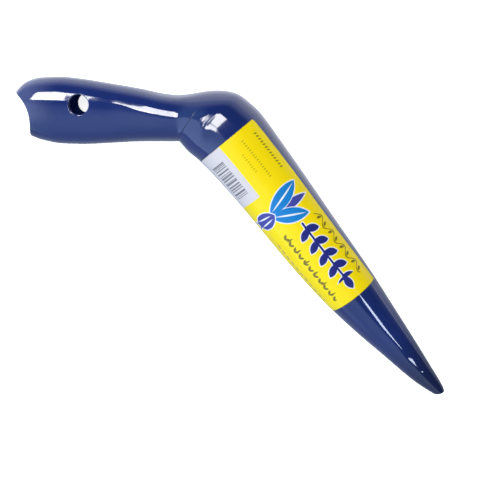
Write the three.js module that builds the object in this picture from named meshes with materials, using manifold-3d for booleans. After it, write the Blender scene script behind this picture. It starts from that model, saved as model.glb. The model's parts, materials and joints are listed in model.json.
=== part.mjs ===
// A bent steel dibber, lying on its side as on a table: a hollow grip with an open, notched end
// and a hang hole, a hollow tapered shank with a label on it, and a solid steel point.
//
// The tool is drawn in its own plane first. There x runs along the grip towards the elbow, y from
// the inner side of the bend to the outer side, and z across the tool, which is alike on both
// sides of z = 0. The inner corner of the bend is at x = 0, y = 0. The finished tool is then
// turned onto the side it lies on, with the table at z = 0. All lengths are in millimetres.

import * as THREE from "three";
import { ConvexHull } from "three/addons/math/ConvexHull.js";
import { mergeVertices } from "three/addons/utils/BufferGeometryUtils.js";
import Module from "manifold-3d";

const wasm = await Module();
wasm.setup();

// Sheet and fits
const wall = 2;
const fitGap = 0.3;

// Grip
const gripLength = 92;
const gripHeight = 37.2;
const gripSag = 1.8;
const gripThickness = 26;
const neckHeight = 25.4;
const neckThickness = 30;
const sideFlat = 0.4;

// Notched open end
const mouthDiameter = 40;
const mouthDepth = 10.7;
const mouthRise = 10.9;

// Hang hole, through both sides of the grip
const hangHoleDiameter = 11;
const hangHoleFromCorner = 53.6;
const hangHoleRise = 20.5;

// Elbow
const bendAngle = THREE.MathUtils.degToRad(50.5);
const mitreAngle = THREE.MathUtils.degToRad(36);
const cornerRadius = 1;
const shoulderHeight = 42.1;
const shoulderThickness = 41;

// Shank and point, measured along the shank from the inner corner
const shankLength = 205.2;
const shankDiameter = 43;
const pointLength = 18.5;
const spigotLength = 12;

// Welds
const weldWidth = 3;
const pointWeldWidth = 2;
const seamWidth = 2;
const weldCrown = 0.25;

// Label, wrapped on the shank
const labelLength = 112;
const labelWidth = 58;
const labelFromCorner = 15.6;
const labelOuterEdge = 19.5;
const labelThickness = 0.3;

// One overrun for every cut
const overrun = 300;

// How fine the faces are
const arcSteps = 14;
const gripSteps = 15;
const gripBunching = 1.4;
const fanSteps = 9;
const shankSteps = 22;
const holeSteps = 40;
const labelStepsAlong = 22;
const labelStepsAround = 16;

// Grip sections, from the open end to the neck. Each row has the distance from the corner as a
// share of the grip's length, the top and the bottom as shares of its height above the palm's
// lowest line, the thickness as a share of the way from the neck's to the grip's, and the height of
// the round at the top and the bottom as shares of the section's height.
const gripShares = [
  { along: 1, top: 0.72, bottom: 0.25, thickness: 1.2, topRound: 0.53, bottomRound: 0.33 },
  { along: 0.967, top: 0.844, bottom: 0.199, thickness: 1.13, topRound: 0.45, bottomRound: 0.27 },
  { along: 0.913, top: 0.946, bottom: 0.129, thickness: 1.05, topRound: 0.4, bottomRound: 0.23 },
  { along: 0.837, top: 0.994, bottom: 0.059, thickness: 1, topRound: 0.36, bottomRound: 0.215 },
  { along: 0.717, top: 1.003, bottom: 0.008, thickness: 1, topRound: 0.34, bottomRound: 0.215 },
  { along: 0.587, top: 0.973, bottom: 0, thickness: 1, topRound: 0.345, bottomRound: 0.22 },
  { along: 0.413, top: 0.906, bottom: 0.021, thickness: 0.95, topRound: 0.395, bottomRound: 0.3 },
  { along: 0.217, top: 0.823, bottom: 0.046, thickness: 0.6, topRound: 0.46, bottomRound: 0.45 },
  { along: 0.087, top: 0.755, bottom: 0.048, thickness: 0.25, topRound: 0.49, bottomRound: 0.49 },
  { along: 0, top: 0.731, bottom: 0.048, thickness: 0, topRound: 0.49, bottomRound: 0.49 },
];

// Elbow sections fan out about the corner: the turn as a share of the bend, and how far the height
// and the thickness have grown from the neck's to the shoulder's.
const fanShares = [
  { turn: 0, height: 0, thickness: 0 },
  { turn: 0.238, height: 0.072, thickness: 0.11 },
  { turn: 0.475, height: 0.275, thickness: 0.33 },
  { turn: 0.634, height: 0.473, thickness: 0.53 },
  { turn: 0.792, height: 0.7, thickness: 0.74 },
  { turn: 1, height: 1, thickness: 1 },
];

// Shank sections: the distance from the corner as a share of the shank's length, and the width, the
// height of its middle and the thickness as shares of the shank's diameter. It is a slow taper as
// far as the label's end, then a quick one to the point.
const shankShares = [
  { along: 0, width: 0.98, middle: 0.512, thickness: 0.954 },
  { along: 0.037, width: 1.012, middle: 0.534, thickness: 0.972 },
  { along: 0.075, width: 1.0, middle: 0.565, thickness: 0.975 },
  { along: 0.123, width: 0.97, middle: 0.573, thickness: 0.966 },
  { along: 0.216, width: 0.92, middle: 0.567, thickness: 0.92 },
  { along: 0.484, width: 0.808, middle: 0.523, thickness: 0.808 },
  { along: 0.6, width: 0.73, middle: 0.517, thickness: 0.73 },
  { along: 0.698, width: 0.619, middle: 0.52, thickness: 0.619 },
  { along: 0.805, width: 0.47, middle: 0.534, thickness: 0.47 },
  { along: 0.912, width: 0.312, middle: 0.547, thickness: 0.312 },
  { along: 0.987, width: 0.15, middle: 0.575, thickness: 0.15 },
  { along: 1, width: 0.085, middle: 0.58, thickness: 0.085 },
];

// A smooth curve through the rows of a table: the value of one column at a given place.
function through(rows, place, column, at) {
  const rising = rows.slice().sort((a, b) => a[place] - b[place]);
  const last = rising.length - 1;
  let i = 0;
  while (i < last - 1 && at > rising[i + 1][place]) i += 1;
  const rise = (a, b) => (rising[b][column] - rising[a][column]) / (rising[b][place] - rising[a][place]);
  const step = rising[i + 1][place] - rising[i][place];
  const here = rise(i, i + 1);
  const before = i > 0 ? rise(i - 1, i) : here;
  const after = i < last - 1 ? rise(i + 1, i + 2) : here;
  const gentle = (a, b) => (a * b <= 0 ? 0 : (2 * a * b) / (a + b));
  const startSlope = i > 0 ? gentle(before, here) : here;
  const endSlope = i < last - 1 ? gentle(here, after) : here;
  const u = (at - rising[i][place]) / step;
  return (
    (2 * u ** 3 - 3 * u ** 2 + 1) * rising[i][column] +
    (u ** 3 - 2 * u ** 2 + u) * step * startSlope +
    (3 * u ** 2 - 2 * u ** 3) * rising[i + 1][column] +
    (u ** 3 - u ** 2) * step * endSlope
  );
}

// The pivot of the elbow's sections lies just outside the corner, so that the corner is rounded.
const pivot = new THREE.Vector2(0, -cornerRadius);
const outward = (turn) => new THREE.Vector2(Math.sin(turn), Math.cos(turn));
const onward = (turn) => new THREE.Vector2(Math.cos(turn), -Math.sin(turn));

// A section is a plane across the tool: its foot and its outward direction in the tool's plane, and
// the outline in it, from bottom to top with rounds there and flat sides between.
function gripSection(fromCorner) {
  const row = (column) => through(gripShares, "along", column, fromCorner / gripLength);
  const top = row("top") * gripHeight - gripSag;
  const bottom = row("bottom") * gripHeight - gripSag;
  const flat = sideFlat / 2;
  return {
    foot: new THREE.Vector2(-fromCorner, 0),
    out: outward(0),
    top,
    bottom,
    half: (neckThickness + (gripThickness - neckThickness) * row("thickness")) / 2,
    topRound: Math.min(row("topRound"), 1 / 2) * (top - bottom) - flat,
    bottomRound: Math.min(row("bottomRound"), 1 / 2) * (top - bottom) - flat,
  };
}

function fanSection(turn) {
  const row = (column) => through(fanShares, "turn", column, turn / bendAngle);
  const height = neckHeight + (shoulderHeight - neckHeight) * row("height");
  return {
    foot: pivot.clone(),
    out: outward(turn),
    top: cornerRadius + height,
    bottom: cornerRadius,
    half: (neckThickness + (shoulderThickness - neckThickness) * row("thickness")) / 2,
    topRound: (height - sideFlat) / 2,
    bottomRound: (height - sideFlat) / 2,
  };
}

function shankSection(fromCorner) {
  const row = (column) => through(shankShares, "along", column, fromCorner / shankLength) * shankDiameter;
  const width = row("width");
  return {
    foot: pivot.clone().addScaledVector(onward(bendAngle), fromCorner),
    out: outward(bendAngle),
    top: row("middle") + width / 2,
    bottom: row("middle") - width / 2,
    half: row("thickness") / 2,
    topRound: (width - sideFlat) / 2,
    bottomRound: (width - sideFlat) / 2,
  };
}

// Evenly spaced values from a to b, both among them.
const spread = (a, b, steps) => Array.from({ length: steps + 1 }, (_, i) => a + ((b - a) * i) / steps);

// The sections of the whole tool, closer together at the open end and at the point.
function allSections() {
  const grip = spread(0, 1, gripSteps).map((u) => gripSection(gripLength * (1 - u ** gripBunching)));
  const fan = spread(0, bendAngle, fanSteps).slice(1, -1).map(fanSection);
  const shank = spread(0, 1, shankSteps).map((u) => shankSection(shankLength * u));
  return [...grip.slice(0, -1), fanSection(0), ...fan, ...shank];
}

// A point of a section, from its height above the foot and its place across the tool.
function placed(section, height, across) {
  const p = section.foot.clone().addScaledVector(section.out, height);
  return new THREE.Vector3(p.x, p.y, across);
}

// The ring of a section, grown outwards by an offset, or shrunk where that is negative.
function ring(section, offset) {
  const half = section.half + offset;
  const arc = (middle, round, side) =>
    spread(0, Math.PI, arcSteps).map((t) =>
      placed(section, middle + side * (round + offset) * Math.sin(t), side * half * Math.cos(t)),
    );
  return [
    ...arc(section.top - section.topRound, section.topRound, 1),
    ...arc(section.bottom + section.bottomRound, section.bottomRound, -1),
  ];
}

// The ring of the strip that follows the tool's inner side, where the sheet's edges meet.
function stripRing(section, width) {
  const low = section.bottom - cornerRadius / 2;
  const high = section.bottom + wall + cornerRadius;
  return [
    placed(section, high, width / 2),
    placed(section, high, -width / 2),
    placed(section, low, -width / 2),
    placed(section, low, width / 2),
  ];
}

// A closed body through rings of equally many points. A ring runs out along one side and comes back
// along the other, so its flat ends are closed with strips from side to side.
function loft(rings) {
  const count = rings[0].length;
  const faces = [];
  const quad = (a, b, c, d) => faces.push(a, b, c, a, c, d);
  for (let r = 0; r + 1 < rings.length; r += 1) {
    for (let i = 0; i < count; i += 1) {
      const a = r * count + i;
      const b = r * count + ((i + 1) % count);
      quad(a, a + count, b + count, b);
    }
  }
  const end = (rings.length - 1) * count;
  for (let i = 0; i + 1 < count / 2; i += 1) {
    const back = count - 1 - i;
    quad(i, i + 1, back - 1, back);
    quad(end + back, end + back - 1, end + i + 1, end + i);
  }
  const geometry = new THREE.BufferGeometry().setFromPoints(rings.flat());
  geometry.setIndex(faces);
  return geometry;
}

// A closed three.js geometry as a solid that can be cut and joined, and back again.
function solid(geometry) {
  const bare = geometry.clone();
  bare.deleteAttribute("normal");
  bare.deleteAttribute("uv");
  const merged = mergeVertices(bare);
  return new wasm.Manifold(
    new wasm.Mesh({
      numProp: 3,
      vertProperties: new Float32Array(merged.attributes.position.array),
      triVerts: new Uint32Array(merged.index.array),
    }),
  );
}

function geometryOf(made) {
  const mesh = made.getMesh();
  const geometry = new THREE.BufferGeometry();
  geometry.setAttribute("position", new THREE.BufferAttribute(new Float32Array(mesh.vertProperties), 3));
  geometry.setIndex(new THREE.BufferAttribute(new Uint32Array(mesh.triVerts), 1));
  return geometry;
}

// Everything from one distance to another beyond a plane that stands square to the tool's plane.
function between(origin, turn, from, to) {
  const block = new THREE.BoxGeometry(to - from, overrun * 2, overrun * 2);
  block.translate((from + to) / 2, 0, 0);
  block.rotateZ(-turn);
  block.translate(origin.x, origin.y, 0);
  return solid(block);
}

// A round bar across the tool, for the holes.
function barAcross(x, y, diameter) {
  const bar = new THREE.CylinderGeometry(diameter / 2, diameter / 2, overrun, holeSteps);
  bar.rotateX(Math.PI / 2);
  bar.translate(x, y, 0);
  return solid(bar);
}

// The skins of the tool: its outside, its inside and the crown of the welds. The long seams are
// ground flush, so that the label lies flat over the shank's.
const sections = allSections();
const skin = (offset) => solid(loft(sections.map((section) => ring(section, offset))));
const outside = skin(0);
const inside = skin(-wall);
const sheet = outside.subtract(inside);
const crownedSheet = skin(weldCrown).subtract(inside);
const strip = (width) => solid(loft(sections.map((section) => stripRing(section, width))));

// Where the pieces meet: the mitre at the elbow, and the joint of shank and point.
const pointJoint = pivot.clone().addScaledVector(onward(bendAngle), shankLength - pointLength);
const mitreHalf = weldWidth / 2;
const pointHalf = pointWeldWidth / 2;
const gripSide = between(pivot, mitreAngle, -overrun, -mitreHalf - fitGap);
const shankSide = between(pivot, mitreAngle, mitreHalf + fitGap, overrun);
const abovePoint = between(pointJoint, bendAngle, -overrun, -pointHalf - fitGap);
const belowShank = between(pointJoint, bendAngle, pointHalf + fitGap, overrun);

const mouth = barAcross(-gripLength + mouthDepth - mouthDiameter / 2, mouthRise, mouthDiameter);
const hangHole = barAcross(-hangHoleFromCorner, hangHoleRise, hangHoleDiameter);
const seamSlot = strip(seamWidth + 2 * fitGap);
const seamBead = sheet.intersect(strip(seamWidth));

function gripTube() {
  return sheet.intersect(gripSide).subtract(mouth).subtract(hangHole).subtract(seamSlot);
}

function shankCone() {
  return sheet.intersect(shankSide).intersect(abovePoint).subtract(seamSlot);
}

function elbowWeld() {
  return crownedSheet.intersect(between(pivot, mitreAngle, -mitreHalf, mitreHalf));
}

function gripSeamWeld() {
  return seamBead.intersect(gripSide).subtract(mouth);
}

function shankSeamWeld() {
  return seamBead.intersect(shankSide).intersect(abovePoint);
}

function pointWeld() {
  return crownedSheet.intersect(between(pointJoint, bendAngle, -pointHalf, pointHalf));
}

// The point is forged solid, with a spigot that centres it in the end of the shank.
function steelPoint() {
  const joint = shankSection(shankLength - pointLength);
  const front = shankSection(shankLength - pointLength + pointHalf);
  const spigotRadius = (front.top - front.bottom) / 2 - wall - fitGap;
  const fullLength = spigotLength + 2 * pointHalf;
  const spigot = new THREE.CylinderGeometry(spigotRadius, spigotRadius, fullLength, holeSteps);
  spigot.rotateZ(Math.PI / 2 - bendAngle);
  const middle = placed(joint, (joint.top + joint.bottom) / 2, 0);
  const back = onward(bendAngle).multiplyScalar((pointHalf + fitGap) - spigotLength / 2);
  spigot.translate(middle.x + back.x, middle.y + back.y, 0);
  return outside.intersect(belowShank).add(solid(spigot));
}

// The label is one flat sheet, bent round the shank: its long edges stay straight when unrolled.
function label() {
  const lines = spread(0, 1, labelStepsAlong).map((u) => {
    const section = shankSection(labelFromCorner + labelLength * u);
    const radius = (section.top - section.bottom) / 2;
    const middle = (section.top + section.bottom) / 2;
    const edges = spread(labelOuterEdge - labelWidth, labelOuterEdge, labelStepsAround);
    const turns = edges.map((y) => y / radius);
    const line = (offset) =>
      turns.map((t) =>
        placed(section, middle + (radius + offset) * Math.sin(t), (section.half + offset) * Math.cos(t)),
      );
    return [...line(fitGap + labelThickness), ...line(fitGap).reverse()];
  });
  return solid(loft(lines));
}

const bluePaint = { color: 0x26356f, roughness: 0.22, metalness: 0.25 };
const paper = { color: 0xf2dc12, roughness: 0.4, metalness: 0 };

const pieces = {
  grip_tube: [gripTube(), bluePaint],
  shank_cone: [shankCone(), bluePaint],
  steel_point: [steelPoint(), bluePaint],
  elbow_weld: [elbowWeld(), bluePaint],
  grip_seam_weld: [gripSeamWeld(), bluePaint],
  shank_seam_weld: [shankSeamWeld(), bluePaint],
  point_weld: [pointWeld(), bluePaint],
  label: [label(), paper],
};

const tool = new THREE.Group();
for (const [name, [made, finish]] of Object.entries(pieces)) {
  const mesh = new THREE.Mesh(geometryOf(made), new THREE.MeshStandardMaterial(finish));
  mesh.name = name;
  tool.add(mesh);
}

// The corners of every piece, and the centre of mass of the steel, in the tool's own frame.
function cornersOf(group) {
  return group.children.flatMap((mesh) => {
    const position = mesh.geometry.attributes.position;
    const corner = (_, i) => new THREE.Vector3().fromBufferAttribute(position, i);
    return Array.from({ length: position.count }, corner);
  });
}

function centreOfMass(group) {
  const sum = new THREE.Vector3();
  let volume = 0;
  for (const mesh of group.children) {
    const position = mesh.geometry.attributes.position;
    const index = mesh.geometry.index.array;
    for (let i = 0; i < index.length; i += 3) {
      const [a, b, c] = [0, 1, 2].map((k) => new THREE.Vector3().fromBufferAttribute(position, index[i + k]));
      const share = a.dot(b.clone().cross(c)) / 6;
      volume += share;
      sum.addScaledVector(a.add(b).add(c), share / 4);
    }
  }
  return sum.divideScalar(volume);
}

// At rest the tool lies on the facet of its hull that is nearest to its centre of mass, among those
// that face away from the side that is up.
function layDown(group) {
  const centre = centreOfMass(group);
  const corners = cornersOf(group);
  const facets = new ConvexHull().setFromPoints(corners).faces;
  const under = facets.filter((facet) => facet.normal.z < -Math.SQRT1_2);
  const depth = (facet) => facet.constant - facet.normal.dot(centre);
  const rest = under.reduce((best, facet) => (depth(facet) < depth(best) ? facet : best));
  const up = rest.normal.clone().negate();
  const along = new THREE.Vector3(1, 0, 0).projectOnPlane(up).normalize();
  const away = up.clone().cross(along);
  const turn = new THREE.Matrix4().makeBasis(along, away, up).transpose();
  const box = new THREE.Box3().setFromPoints(corners.map((p) => p.applyMatrix4(turn)));
  group.quaternion.setFromRotationMatrix(turn);
  group.position.set(-(box.min.x + box.max.x) / 2, -(box.min.y + box.max.y) / 2, -box.min.z);
}

layDown(tool);
const dibber = new THREE.Group();
dibber.add(tool);

export default dibber;
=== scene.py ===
import json
import math

import bmesh
import bpy
import numpy as np
from mathutils import Matrix, Vector


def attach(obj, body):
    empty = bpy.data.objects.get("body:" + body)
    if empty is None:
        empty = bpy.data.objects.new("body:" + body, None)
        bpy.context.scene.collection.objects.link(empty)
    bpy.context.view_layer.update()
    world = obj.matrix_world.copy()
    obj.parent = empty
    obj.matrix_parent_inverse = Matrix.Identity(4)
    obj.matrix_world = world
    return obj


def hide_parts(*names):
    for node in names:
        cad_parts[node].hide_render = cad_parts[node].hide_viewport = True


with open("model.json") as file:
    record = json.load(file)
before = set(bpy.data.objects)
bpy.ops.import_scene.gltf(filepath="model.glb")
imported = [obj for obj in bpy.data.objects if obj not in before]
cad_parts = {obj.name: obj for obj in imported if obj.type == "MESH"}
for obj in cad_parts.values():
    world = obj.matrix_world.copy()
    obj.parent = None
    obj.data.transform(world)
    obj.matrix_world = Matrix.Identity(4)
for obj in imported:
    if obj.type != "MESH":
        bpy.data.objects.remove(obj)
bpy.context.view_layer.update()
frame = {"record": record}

# A bent steel dibber, lying on its side. Lengths are millimetres in the tool's own frame: x runs
# along the grip to the elbow, y from the inner to the outer side of the bend, z across the tool,
# and the inner corner of the bend is at x = 0, y = 0.

MM = 0.001

# Sheet
WALL = 2.0
NECK_HEIGHT = 25.4
NECK_THICKNESS = 30.0
SIDE_FLAT = 0.4

# Grip
GRIP_LENGTH = 92.0
GRIP_HEIGHT = 37.2
GRIP_SAG = 1.8
GRIP_THICKNESS = 26.0
MOUTH_RADIUS = 20.0
MOUTH_CENTRE = (-101.3, 10.9)
HOLE_RADIUS = 5.5
HOLE_CENTRE = (-53.6, 20.5)
FLAT_CENTRE = (-64.0, 12.0)
OVAL = 2.0
GRIP_OVAL = 3.1
OVAL_REACH = 0.45

# Elbow
BEND = math.radians(50.5)
MITRE = math.radians(36.0)
CORNER_RADIUS = 1.0
SHOULDER_HEIGHT = 42.1
SHOULDER_THICKNESS = 41.0
ELBOW_RUN = 30.0

# Shank and point
SHANK_LENGTH = 205.2
SHANK_DIAMETER = 43.0
POINT_LENGTH = 18.5
SPIGOT_LENGTH = 12.0
SPIGOT_CLEARANCE = 0.3
SPIGOT_CHAMFER = 0.4
TIP_TILT = math.radians(20.0)
TIP_SETBACK = 0.7
TIP_ROUND = 0.8
TIP_FACE_DEPTH = 1.2

# Welds. A seam's ripples are counted in radians a millimetre.
WELD_WIDTH = 3.0
POINT_WELD_WIDTH = 2.0
POINT_WELD_CROWN = 0.1
SEAM_WIDTH = 2.0
SEAM_THICKNESS = 1.0
SEAM_CROWN = 0.14
SEAM_SINK = 0.015
SEAM_INSET = 0.05
RIPPLE_TURN = 2.1
RIPPLE_SHARE = 0.35
RIPPLE_BOW = 0.8
SLOW_RIPPLE_TURN = 0.777
SLOW_RIPPLE_SHARE = 0.2

# Label
LABEL_LENGTH = 112.0
LABEL_WIDTH = 58.0
LABEL_FROM_CORNER = 15.6
LABEL_OUTER_EDGE = 19.5
LABEL_CORNER = 1.6
LABEL_LIFT = 0.13
LABEL_FILM = 0.1

# Edges. The joint's groove closes over a stretch of the way from the inner to the outer side.
RIM_ROUND = 0.45
JOINT_ROUND = 0.42
GROOVE_CLOSES = (0.42, 0.64)
CLOSED_GROOVE = 0.015
HOLE_ROUND = 0.5
RIM_STEPS = 3
TIP_STEPS = 5
RIM_WEAR = 0.5
HOLE_WEAR = 0.6
NEAR_EDGE = (0.12, 0.36, 0.8)
SHARP = math.radians(50)
SEAM_REACH = 1e-4

# How fine the grids are. A stop is a station along the tool, with the number of rows that lead up
# to it, and the stop None is a piece's own end. The upper side's middle is a share of the girth.
GRIP_COLUMNS = 132
SHANK_COLUMNS = 144
POINT_COLUMNS = 72
HOLE_CELLS = 7
HOLE_BLEND = 2.0
HOLE_PATCH = 17.0
GRIP_STOPS = ((HOLE_CENTRE[0] - HOLE_PATCH, 26), (HOLE_CENTRE[0] + HOLE_PATCH, 34), (None, 44))
ELBOW_WELD_STOPS = ((None, 4),)
SHANK_STOPS = ((ELBOW_RUN + 6.0, 30), (ELBOW_RUN + 40.0, 34), (None, 110))
SHANK_INSIDE_STOPS = ((ELBOW_RUN + 6.0, 12), (None, 60))
POINT_WELD_STOPS = ((None, 3),)
POINT_STOPS = ((None, 22),)
UPPER_MIDDLE = 0.25
SEAM_COLUMNS = 8
GRIP_SEAM_ROWS = 150
SHANK_SEAM_ROWS = 240
LABEL_ROWS = 120
LABEL_COLUMNS = 60
LABEL_CORNER_CELLS = 4
CURVE_STEPS = 8001
HALVINGS = 24

# How far the sections flow into each other: everywhere, at the elbow, and at the tool's two ends
BLEND_STEPS = np.linspace(-2, 2, 9)
BLEND_REACH = 0.8
ELBOW_BLEND_REACH = 2.2
ELBOW_BLEND_SPREAD = 22.0
END_BLEND_REACH = 0.02

# Grip sections: distance from the corner as a share of the length, top and bottom as shares of the
# height, thickness as a share of the way from neck to grip, and the rounds as shares of the height.
GRIP_SHARES = (
    (1.0, 0.72, 0.25, 1.2, 0.53, 0.33),
    (0.967, 0.844, 0.199, 1.13, 0.45, 0.27),
    (0.913, 0.946, 0.129, 1.05, 0.4, 0.23),
    (0.837, 0.994, 0.059, 1.0, 0.36, 0.215),
    (0.717, 1.003, 0.008, 1.0, 0.34, 0.215),
    (0.587, 0.973, 0.0, 1.0, 0.345, 0.22),
    (0.413, 0.906, 0.021, 0.95, 0.395, 0.3),
    (0.217, 0.823, 0.046, 0.6, 0.46, 0.45),
    (0.087, 0.755, 0.048, 0.25, 0.49, 0.49),
    (0.0, 0.731, 0.048, 0.0, 0.49, 0.49),
)
# Elbow sections: the turn, and how far height and thickness have grown from neck to shoulder.
ELBOW_SHARES = (
    (0.0, 0.0, 0.0),
    (0.238, 0.072, 0.11),
    (0.475, 0.275, 0.33),
    (0.634, 0.473, 0.53),
    (0.792, 0.7, 0.74),
    (1.0, 1.0, 1.0),
)
# Shank sections: distance from the corner as a share of the length, then width, middle and
# thickness as shares of the diameter.
SHANK_SHARES = (
    (0.0, 0.98, 0.512, 0.954),
    (0.037, 1.012, 0.534, 0.972),
    (0.075, 1.0, 0.565, 0.975),
    (0.123, 0.97, 0.573, 0.966),
    (0.216, 0.92, 0.567, 0.92),
    (0.484, 0.808, 0.523, 0.808),
    (0.6, 0.73, 0.517, 0.73),
    (0.698, 0.619, 0.52, 0.619),
    (0.805, 0.47, 0.534, 0.47),
    (0.912, 0.312, 0.547, 0.312),
    (0.987, 0.15, 0.575, 0.15),
    (1.0, 0.085, 0.58, 0.085),
)

# What pressing, bending and welding left on the skin. A ridge is its two ends, its width and its
# height, and a groove's height is below 0. Where a form grows or fades, two places give the stretch.
ELBOW_RIDGES = (
    ((11.6, 13.6), (12.8, 11.6), 0.7, 0.3),
    ((13.6, 12.6), (14.6, 14.0), 0.7, 0.24),
    ((9.6, 12.4), (10.6, 14.2), 0.6, 0.16),
    ((15.2, 9.8), (21.4, 16.9), 0.55, -0.16),
    ((16.8, 9.9), (22.6, 16.6), 0.5, 0.13),
)
RIDGE_END = 0.25
RIDGE_RISE = 6.0
NECK_SWELLS = ((0.45, -42.0, -8.0), (0.3, -26.0, 0.0), (-0.75, -3.0, 20.0))
CREST_HEIGHT = 0.24
CREST_SPREAD = 1.4
CREST_PASSES = (-37.0, 22.9)
CREST_SLOPE = -0.159
CREST_GROWS = (-62.0, -36.0)
CREST_FADES = (-34.0, -16.0)
MOUTH_DRAW = 0.5
MOUTH_DRAWS_IN = (-80.0, -97.0)
SHOULDER_BOSS = 0.5
SHOULDER_BOSS_CENTRE = (14.4, 6.2)
SHOULDER_BOSS_SPREAD = 2.6
SIDE_STARTS = (4.0, 11.0)

# The flat that the hammer left above the point: down the shank, and out from its inner side
HAMMER_DEPTH = 0.2
HAMMER_CENTRE = (174.8, 24.6)
HAMMER_SPREAD = (3.0, 1.5)


# Where the tool lies

def find_place():
    """The inner corner in the row frame, and the tool's own axes as rows, from the flat beside the
    hang hole."""
    mounts = frame["record"]["mounts"]
    near_side = next(m for m in mounts if m["name"] == "grip_near_side")
    up = Vector(near_side["axis"]).normalized()
    along = Vector((up.z, 0, -up.x)).normalized()
    away = up.cross(along)
    lever = along * FLAT_CENTRE[0] + away * FLAT_CENTRE[1] + up * (GRIP_THICKNESS / 2)
    return Vector(near_side["pos_m"]) - lever * MM, np.array([along, away, up])


ORIGIN, TURN = find_place()


def to_row(points):
    """Millimetres in the tool's frame to metres in the row frame."""
    return np.array(ORIGIN) + (points * MM) @ TURN


def spot(x, y, z):
    return Vector(to_row(np.array([x, y, z], float)))


def turned(direction):
    """A direction of the tool's frame in the row frame."""
    return Vector(TURN.T @ np.array(direction))


# The shape of the skin

def ease(value, start, end):
    """From 0 to 1 over a stretch, with a soft start and a soft end."""
    share = np.clip((value - start) / (end - start), 0, 1)
    return share * share * (3 - 2 * share)


def bell(off, spread):
    """1 in the middle, and falling away on both sides."""
    return np.exp(-((off / spread) ** 2) / 2)


def smooth_curve(places, values):
    """A curve through a table's rows that never overshoots them."""
    order = np.argsort(places)
    places = np.array(places, float)[order]
    values = np.array(values, float)[order]
    chords = np.diff(values) / np.diff(places)
    slopes = np.concatenate([chords[:1], np.zeros(len(chords) - 1), chords[-1:]])
    product = chords[:-1] * chords[1:]
    total = chords[:-1] + chords[1:]
    rising = product > 0
    slopes[1:-1][rising] = 2 * product[rising] / total[rising]

    fine = np.linspace(places[0], places[-1], CURVE_STEPS)
    i = np.clip(np.searchsorted(places, fine) - 1, 0, len(chords) - 1)
    step = places[i + 1] - places[i]
    t = (fine - places[i]) / step
    from_here = (2 * t**3 - 3 * t**2 + 1) * values[i] + (t**3 - 2 * t**2 + t) * step * slopes[i]
    to_next = (3 * t**2 - 2 * t**3) * values[i + 1] + (t**3 - t**2) * step * slopes[i + 1]
    held = from_here + to_next
    return lambda place: np.interp(place, fine, held)


def curves_of(rows):
    columns = list(zip(*rows))
    return [smooth_curve(columns[0], column) for column in columns[1:]]


grip_top, grip_bottom, grip_thickness, grip_top_round, grip_bottom_round = curves_of(GRIP_SHARES)
elbow_height, elbow_thickness = curves_of(ELBOW_SHARES)
shank_width, shank_middle, shank_thickness = curves_of(SHANK_SHARES)


def section(station):
    """Sections across the tool. A station counts from the corner: below 0 along the grip, then
    ELBOW_RUN round the bend, then along the shank."""
    on_grip = station <= 0
    on_elbow = (station > 0) & (station < ELBOW_RUN)

    def pick(grip, elbow, shank):
        return np.where(on_grip, grip, np.where(on_elbow, elbow, shank))

    back = np.clip(-station / GRIP_LENGTH, 0, 1)
    share = np.clip(station / ELBOW_RUN, 0, 1)
    on = np.clip((station - ELBOW_RUN) / SHANK_LENGTH, 0, 1)
    turn = share * BEND

    top = grip_top(back) * GRIP_HEIGHT - GRIP_SAG
    bottom = grip_bottom(back) * GRIP_HEIGHT - GRIP_SAG
    height = NECK_HEIGHT + (SHOULDER_HEIGHT - NECK_HEIGHT) * elbow_height(share)
    width = shank_width(on) * SHANK_DIAMETER
    middle = shank_middle(on) * SHANK_DIAMETER

    def rounded(grip_round):
        on_the_grip = np.minimum(grip_round(back) * (top - bottom), (top - bottom) / 2)
        return pick(on_the_grip - SIDE_FLAT / 2, (height - SIDE_FLAT) / 2, (width - SIDE_FLAT) / 2)

    return {
        "foot_x": pick(station, 0, math.cos(BEND) * on * SHANK_LENGTH),
        "foot_y": pick(0, -CORNER_RADIUS, -CORNER_RADIUS - math.sin(BEND) * on * SHANK_LENGTH),
        "out_x": np.sin(turn),
        "out_y": np.cos(turn),
        "top": pick(top, CORNER_RADIUS + height, middle + width / 2),
        "bottom": pick(bottom, CORNER_RADIUS, middle - width / 2),
        "half": pick(
            (NECK_THICKNESS + (GRIP_THICKNESS - NECK_THICKNESS) * grip_thickness(back)) / 2,
            (NECK_THICKNESS + (SHOULDER_THICKNESS - NECK_THICKNESS) * elbow_thickness(share)) / 2,
            shank_thickness(on) * SHANK_DIAMETER / 2,
        ),
        "top_round": rounded(grip_top_round),
        "bottom_round": rounded(grip_bottom_round),
        "power": pick(OVAL + (GRIP_OVAL - OVAL) * np.clip(back / OVAL_REACH, 0, 1), OVAL, OVAL),
    }


def quarter(a, b):
    """The length of a quarter of an ellipse, near enough."""
    return math.pi / 4 * (3 * (a + b) - np.sqrt((3 * a + b) * (a + 3 * b)))


def girth_parts(s):
    flat = s["top"] - s["top_round"] - s["bottom"] - s["bottom_round"]
    return quarter(s["half"], s["bottom_round"]), flat, quarter(s["half"], s["top_round"])


def girth(station):
    return 2 * sum(girth_parts(section(station)))


def side_reach(s, height, offset):
    """How far the skin reaches from the middle, on an oval that is flatter along the grip."""
    half_height = (s["top"] - s["bottom"]) / 2 + offset
    share = np.clip(np.abs(height - (s["top"] + s["bottom"]) / 2) / half_height, 0, 1)
    return (s["half"] + offset) * np.sqrt(1 - share ** s["power"])


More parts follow.
